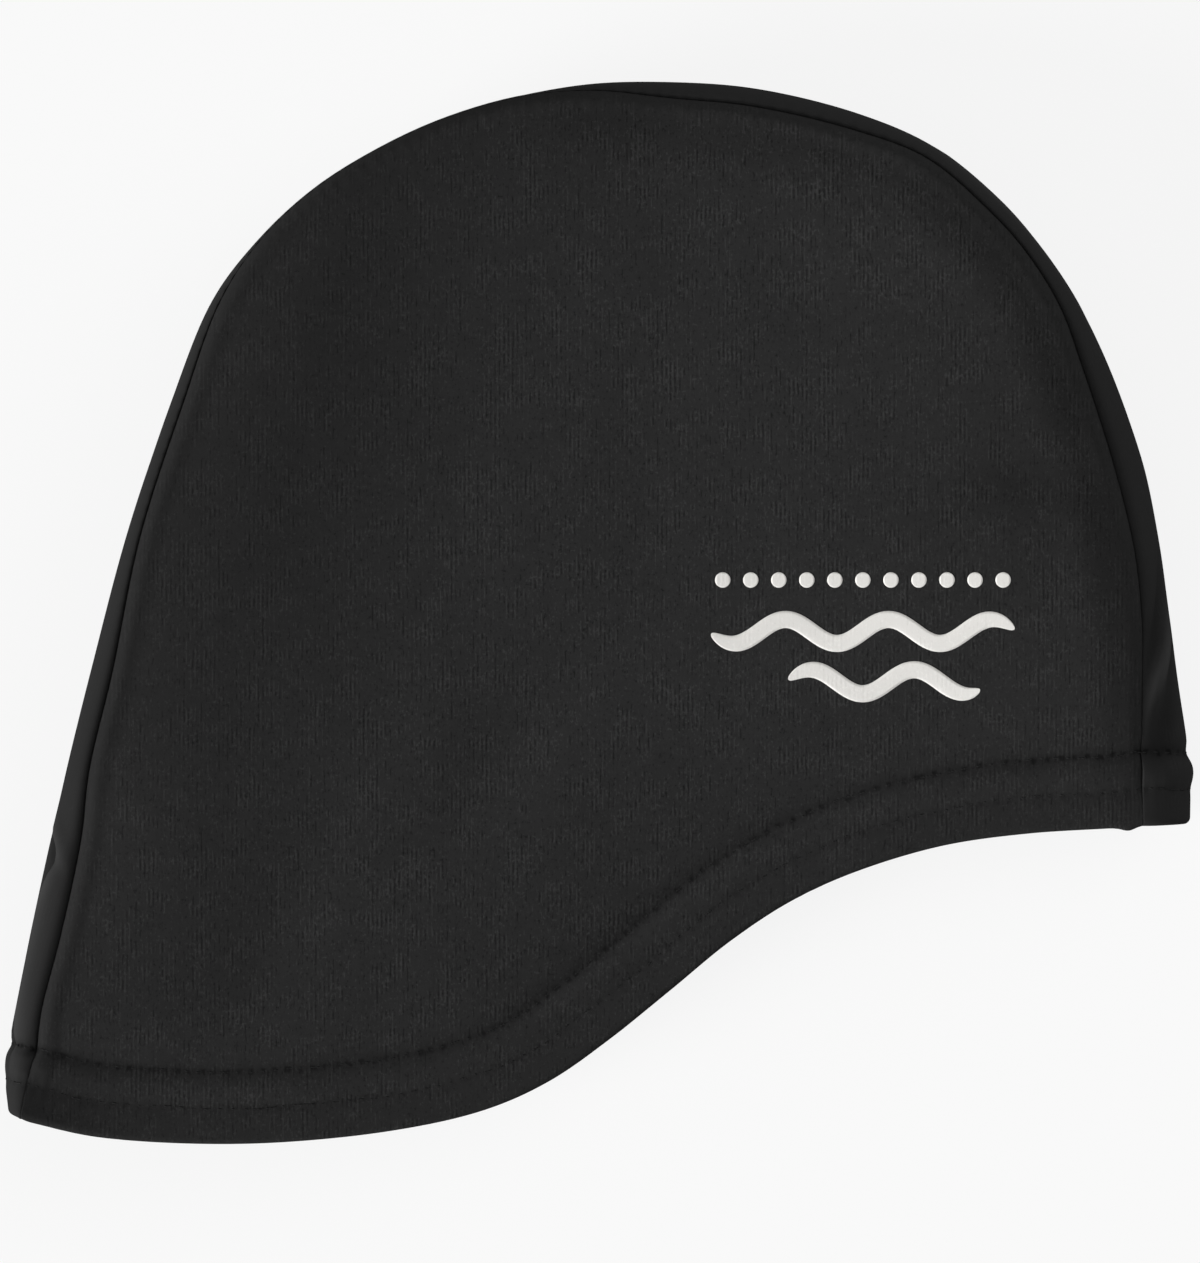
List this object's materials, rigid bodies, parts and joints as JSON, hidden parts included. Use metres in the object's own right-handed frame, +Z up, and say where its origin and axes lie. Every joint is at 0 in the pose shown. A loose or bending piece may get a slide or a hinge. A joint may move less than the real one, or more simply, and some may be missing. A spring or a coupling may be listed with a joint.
{
  "type": "fabric swim cap",
  "caption": "Fabric swim cap of knit side panels and a centre strip with a turned hem, lying flat on its side with an open head hollow.",
  "frame": {"origin": "centre of the cap's outline from above, on the surface it lies on", "axes": "+X towards the forehead, +Y towards the crown, -Y out of the head opening, +Z up from the surface"},
  "size_m": [0.2074, 0.186, 0.0295],
  "materials": {
    "panel_knit": "matt black warp-knit stretch fabric with fine lengthwise ribs",
    "strip_knit": "matt black stretch knit, cut across the panels' ribs",
    "stitch_thread": "black textured polyester sewing thread",
    "print": "off-white flexible screen print"
  },
  "bodies": {
    "root": {"side_panel_right": "panel_knit", "side_panel_left": "panel_knit", "centre_strip": "strip_knit"}
  },
  "joints": []
}
